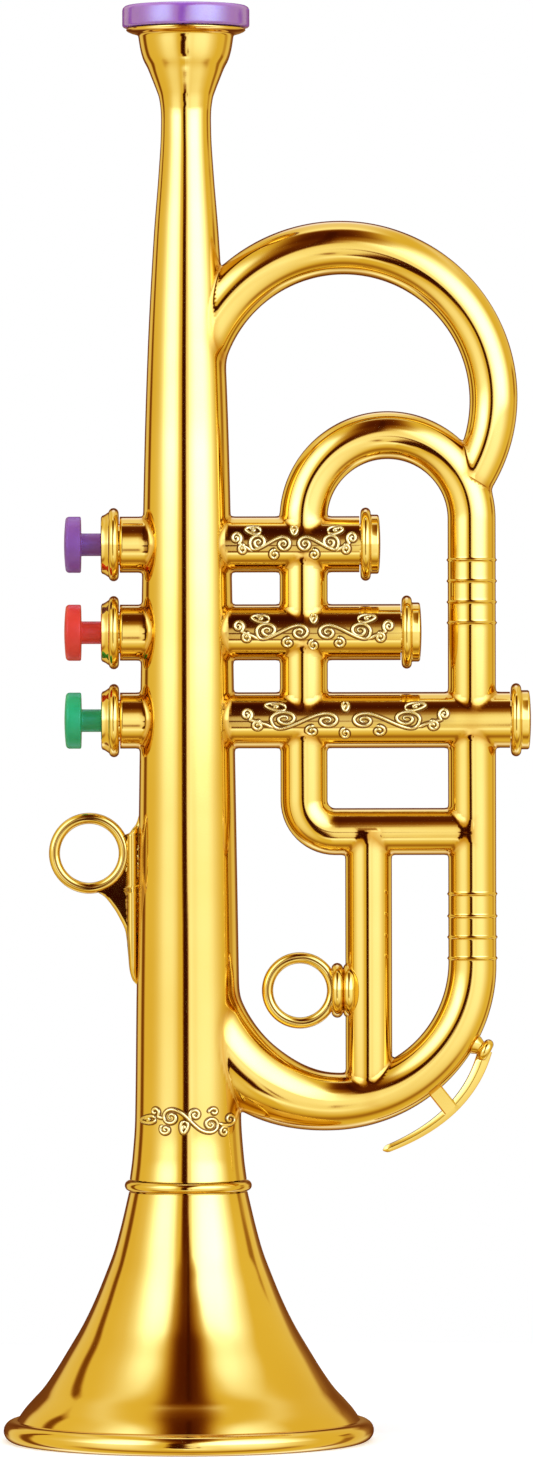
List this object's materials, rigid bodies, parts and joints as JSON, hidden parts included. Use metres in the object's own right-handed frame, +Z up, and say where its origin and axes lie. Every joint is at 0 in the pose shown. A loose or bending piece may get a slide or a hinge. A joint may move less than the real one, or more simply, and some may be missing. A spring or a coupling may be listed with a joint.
{
  "type": "toy trumpet",
  "caption": "Toy trumpet with a gold moulded body, a flared bell to stand on, a violet mouth ring and spring-return buttons that open reed valves.",
  "frame": {"origin": "on the floor under the bell, at the middle of the whole outline seen from above", "axes": "+Z up from the bell to the mouth ring, +X from the buttons towards the casing ends, -Y towards the viewer who sees the buttons on the left"},
  "size_m": [0.1356, 0.095, 0.3678],
  "materials": {
    "gold": "bright vacuum-metallised gold",
    "violet": "glossy moulded plastic",
    "purple": "satin moulded plastic",
    "red": "satin moulded plastic",
    "green": "satin moulded plastic",
    "ivory": "moulded plastic, as moulded",
    "brass": "stamped sheet",
    "steel": "plain wire and strip",
    "rubber": "matt"
  },
  "bodies": {
    "trumpet": {"front_shell": "gold", "back_shell": "gold", "bell": "gold", "bell_collar": "gold", "mouth_ring": "violet", "valve_end_cap_1": "gold", "valve_end_cap_2": "gold", "valve_end_cap_3": "gold", "valve_collar_1": "gold", "valve_collar_2": "gold", "valve_collar_3": "gold", "return_spring_1": "steel", "return_spring_2": "steel", "return_spring_3": "steel", "reed_carrier": "ivory", "reed_plate_1": "brass", "reed_plate_2": "brass", "reed_plate_3": "brass", "reed_plate_4": "brass", "finger_ring": "gold", "pull_ring": "gold", "water_key": "gold"},
    "purple_key": {"button_purple": "purple", "valve_pad_1": "rubber", "pad_clip_1": "steel"},
    "red_key": {"button_red": "red", "valve_pad_2": "rubber", "pad_clip_2": "steel"},
    "green_key": {"button_green": "green", "valve_pad_3": "rubber", "pad_clip_3": "steel"}
  },
  "joints": [
    {"name": "purple_press", "type": "slide", "parent": "trumpet", "child": "purple_key", "axis": [1, 0, 0], "range_m": [0, 0.0045], "stiffness_N_per_m": 150, "springref_m": -0.003, "deforming": ["return_spring_1"]},
    {"name": "red_press", "type": "slide", "parent": "trumpet", "child": "red_key", "axis": [1, 0, 0], "range_m": [0, 0.0045], "stiffness_N_per_m": 150, "springref_m": -0.003, "deforming": ["return_spring_2"]},
    {"name": "green_press", "type": "slide", "parent": "trumpet", "child": "green_key", "axis": [1, 0, 0], "range_m": [0, 0.0045], "stiffness_N_per_m": 150, "springref_m": -0.003, "deforming": ["return_spring_3"]}
  ]
}
